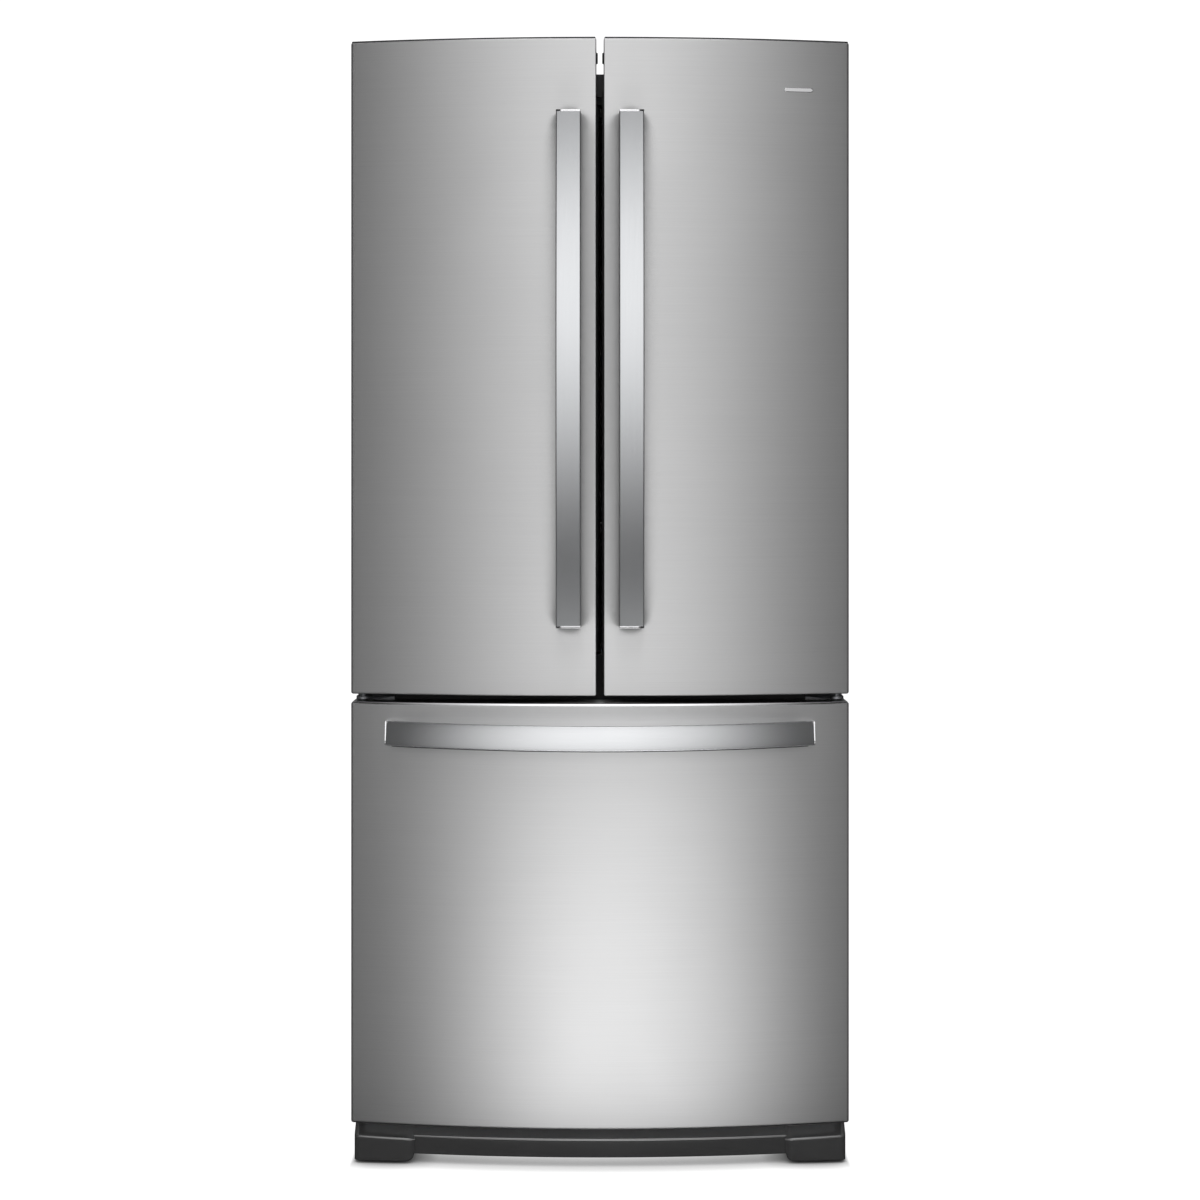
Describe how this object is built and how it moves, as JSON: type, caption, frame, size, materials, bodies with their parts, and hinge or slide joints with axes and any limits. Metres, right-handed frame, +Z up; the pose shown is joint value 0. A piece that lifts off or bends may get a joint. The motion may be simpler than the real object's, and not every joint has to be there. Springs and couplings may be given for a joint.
{
  "type": "french door refrigerator",
  "caption": "Free-standing refrigerator with two bowed stainless upper doors that open from the middle and a full-width freezer drawer below, bar handles and dark base covers.",
  "frame": {"origin": "on the floor, at the middle of the width and of the total depth from the freezer handle to the back", "axes": "+Z up, -Y to the front with the doors and handles, +X to the right of someone facing the front"},
  "size_m": [0.755, 0.8598, 1.705],
  "materials": {
    "stainless": "satin",
    "handle_bar": "satin",
    "bright_ends": "polished",
    "cabinet_paint": "satin",
    "dark_trim": "matte",
    "base_plastic": "satin",
    "seal": "matte",
    "liner_white": "satin",
    "foam": "matte",
    "zinc_steel": "satin",
    "black_steel": "satin",
    "clear_bin": "gloss",
    "shelf_glass": "gloss",
    "shelf_trim": "satin",
    "fins": "satin",
    "fan_plastic": "matte",
    "foot_rubber": "matte",
    "roller_nylon": "matte",
    "white_wire": "satin"
  },
  "bodies": {
    "cabinet": {"cabinet_shell": "cabinet_paint", "rear_panel": "zinc_steel", "base_pan": "black_steel", "fresh_food_liner": "liner_white", "freezer_liner": "liner_white", "foam_insulation": "foam", "center_rail": "black_steel", "top_hinges": "zinc_steel", "hinge_covers": "dark_trim", "mid_hinges": "zinc_steel", "mullion_guide": "dark_trim", "base_grille": "base_plastic", "foot_covers": "base_plastic", "support_brackets": "zinc_steel", "compressor": "black_steel", "condenser": "black_steel", "condenser_fan_shroud": "fan_plastic", "drain_pan": "dark_trim", "machine_cover": "zinc_steel", "evaporator": "fins", "evaporator_cover": "liner_white", "air_tower": "liner_white", "shelf_ladders": "zinc_steel", "shelf_glass": "shelf_glass", "shelf_frames": "shelf_trim", "control_panel": "shelf_trim", "cabinet_slides": "zinc_steel"},
    "left_door": {"left_door_skin": "stainless", "left_door_caps": "dark_trim", "left_door_panel": "liner_white", "left_door_gasket": "seal", "left_door_bins": "clear_bin", "left_handle": "handle_bar", "left_handle_ends": "bright_ends"},
    "right_door": {"right_door_skin": "stainless", "right_door_caps": "dark_trim", "right_door_panel": "liner_white", "right_door_gasket": "seal", "right_door_bins": "clear_bin", "right_handle": "handle_bar", "right_handle_ends": "bright_ends"},
    "mullion": {"mullion": "dark_trim"},
    "freezer_drawer": {"drawer_skin": "stainless", "drawer_panel": "liner_white", "drawer_gasket": "seal", "freezer_handle": "handle_bar", "freezer_handle_ends": "bright_ends", "drawer_slides": "zinc_steel", "lower_basket": "white_wire"},
    "slide_middles": {"slide_middles": "zinc_steel"},
    "upper_basket": {"upper_basket": "white_wire"},
    "crisper_left": {"crisper_left": "clear_bin"},
    "crisper_right": {"crisper_right": "clear_bin"},
    "temperature_button": {"temperature_button": "dark_trim"},
    "rear_roller_left": {"rear_roller_left": "roller_nylon"},
    "rear_roller_right": {"rear_roller_right": "roller_nylon"},
    "leveling_foot_left": {"leveling_foot_left": "foot_rubber"},
    "leveling_foot_right": {"leveling_foot_right": "foot_rubber"},
    "condenser_fan": {"condenser_fan": "fan_plastic"},
    "evaporator_fan": {"evaporator_fan": "fan_plastic"}
  },
  "joints": [
    {"name": "left_door_hinge", "type": "hinge", "parent": "cabinet", "child": "left_door", "pos_m": [-0.362, -0.302, 1.2], "axis": [0, 0, -1], "range_deg": [0, 120]},
    {"name": "right_door_hinge", "type": "hinge", "parent": "cabinet", "child": "right_door", "pos_m": [0.362, -0.302, 1.2], "axis": [0, 0, 1], "range_deg": [0, 120]},
    {"name": "mullion_fold", "type": "hinge", "parent": "left_door", "child": "mullion", "pos_m": [-0.042, -0.2512, 1.2], "axis": [0, 0, 1], "range_deg": [0, 85]},
    {"name": "freezer_drawer_slide", "type": "slide", "parent": "cabinet", "child": "freezer_drawer", "axis": [0, -1, 0], "range_m": [0, 0.42]},
    {"name": "slide_middles_slide", "type": "slide", "parent": "cabinet", "child": "slide_middles", "axis": [0, -1, 0], "range_m": [0, 0.21]},
    {"name": "upper_basket_slide", "type": "slide", "parent": "cabinet", "child": "upper_basket", "axis": [0, -1, 0], "range_m": [0, 0.231]},
    {"name": "crisper_left_slide", "type": "slide", "parent": "cabinet", "child": "crisper_left", "axis": [0, -1, 0], "range_m": [0, 0.13]},
    {"name": "crisper_right_slide", "type": "slide", "parent": "cabinet", "child": "crisper_right", "axis": [0, -1, 0], "range_m": [0, 0.13]},
    {"name": "temperature_button_press", "type": "slide", "parent": "cabinet", "child": "temperature_button", "axis": [0, 0, 1], "range_m": [0, 0.0015], "stiffness_N_per_m": 400, "springref_m": -0.001},
    {"name": "rear_roller_left_spin", "type": "hinge", "parent": "cabinet", "child": "rear_roller_left", "pos_m": [-0.33, 0.37, 0.0175], "axis": [1, 0, 0], "continuous": true},
    {"name": "rear_roller_right_spin", "type": "hinge", "parent": "cabinet", "child": "rear_roller_right", "pos_m": [0.33, 0.37, 0.0175], "axis": [1, 0, 0], "continuous": true},
    {"name": "leveling_foot_left_turn", "type": "hinge", "parent": "cabinet", "child": "leveling_foot_left", "pos_m": [-0.33, -0.225, 0.03], "axis": [0, 0, 1], "continuous": true},
    {"name": "leveling_foot_right_turn", "type": "hinge", "parent": "cabinet", "child": "leveling_foot_right", "pos_m": [0.33, -0.225, 0.03], "axis": [0, 0, 1], "continuous": true},
    {"name": "condenser_fan_spin", "type": "hinge", "parent": "cabinet", "child": "condenser_fan", "pos_m": [0.015, 0.3, 0.15], "axis": [1, 0, 0], "continuous": true},
    {"name": "evaporator_fan_spin", "type": "hinge", "parent": "cabinet", "child": "evaporator_fan", "pos_m": [0, 0.3, 0.56], "axis": [0, 1, 0], "continuous": true}
  ],
  "couplings": [
    {"joint": "mullion_fold", "follows": "left_door_hinge", "ratio": 0.70833},
    {"joint": "slide_middles_slide", "follows": "freezer_drawer_slide", "ratio": 0.5},
    {"joint": "upper_basket_slide", "follows": "freezer_drawer_slide", "ratio": 0.55}
  ]
}
